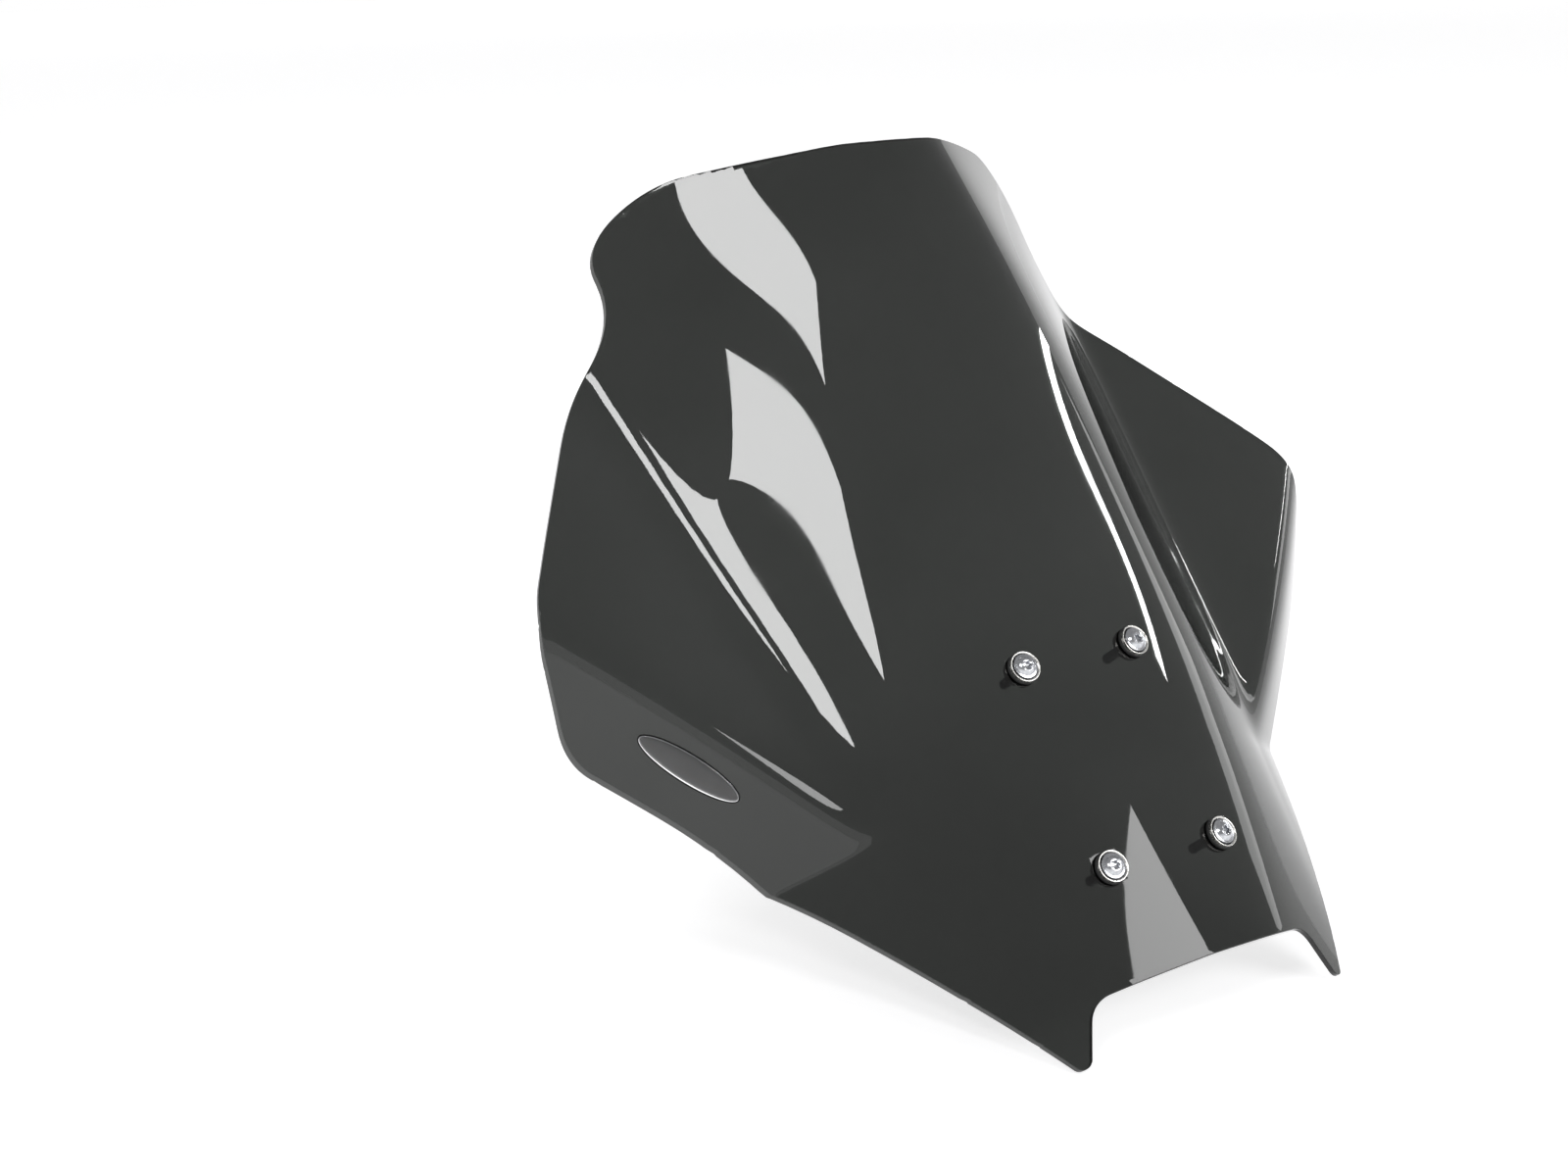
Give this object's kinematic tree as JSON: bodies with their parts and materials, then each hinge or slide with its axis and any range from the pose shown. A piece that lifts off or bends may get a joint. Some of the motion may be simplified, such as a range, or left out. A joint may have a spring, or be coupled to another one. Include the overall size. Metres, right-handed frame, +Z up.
{
  "type": "windshield screen",
  "caption": "Smoked acrylic scooter windshield with a crowned centre, flared side wings, two pointed tails and rubber-mounted screw fixings.",
  "frame": {"origin": "centre of the four fixings, on the panel plane of the screen's outer face", "axes": "+Z up, -Y towards the front of the scooter, +X the rider's left, across the screen"},
  "size_m": [0.4698, 0.3193, 0.3829],
  "materials": {
    "smoked_acrylic": "polished dark smoke tint, see-through",
    "badge_foil": "printed foil",
    "badge_resin": "clear domed resin over black",
    "zinc_steel": "bright zinc plate",
    "plain_steel": "turned",
    "black_rubber": "satin",
    "black_nylon": "moulded"
  },
  "bodies": {
    "root": {"screen": "smoked_acrylic", "badge_backing": "badge_foil", "badge_dome": "badge_resin", "upper_right_screw": "zinc_steel", "upper_right_dish_washer": "zinc_steel", "upper_right_grommet": "black_rubber", "upper_right_sleeve": "plain_steel", "upper_right_rear_washer": "black_nylon", "upper_left_screw": "zinc_steel", "upper_left_dish_washer": "zinc_steel", "upper_left_grommet": "black_rubber", "upper_left_sleeve": "plain_steel", "upper_left_rear_washer": "black_nylon", "lower_right_screw": "zinc_steel", "lower_right_dish_washer": "zinc_steel", "lower_right_grommet": "black_rubber", "lower_right_sleeve": "plain_steel", "lower_right_rear_washer": "black_nylon", "lower_left_screw": "zinc_steel", "lower_left_dish_washer": "zinc_steel", "lower_left_grommet": "black_rubber", "lower_left_sleeve": "plain_steel", "lower_left_rear_washer": "black_nylon"}
  },
  "joints": []
}
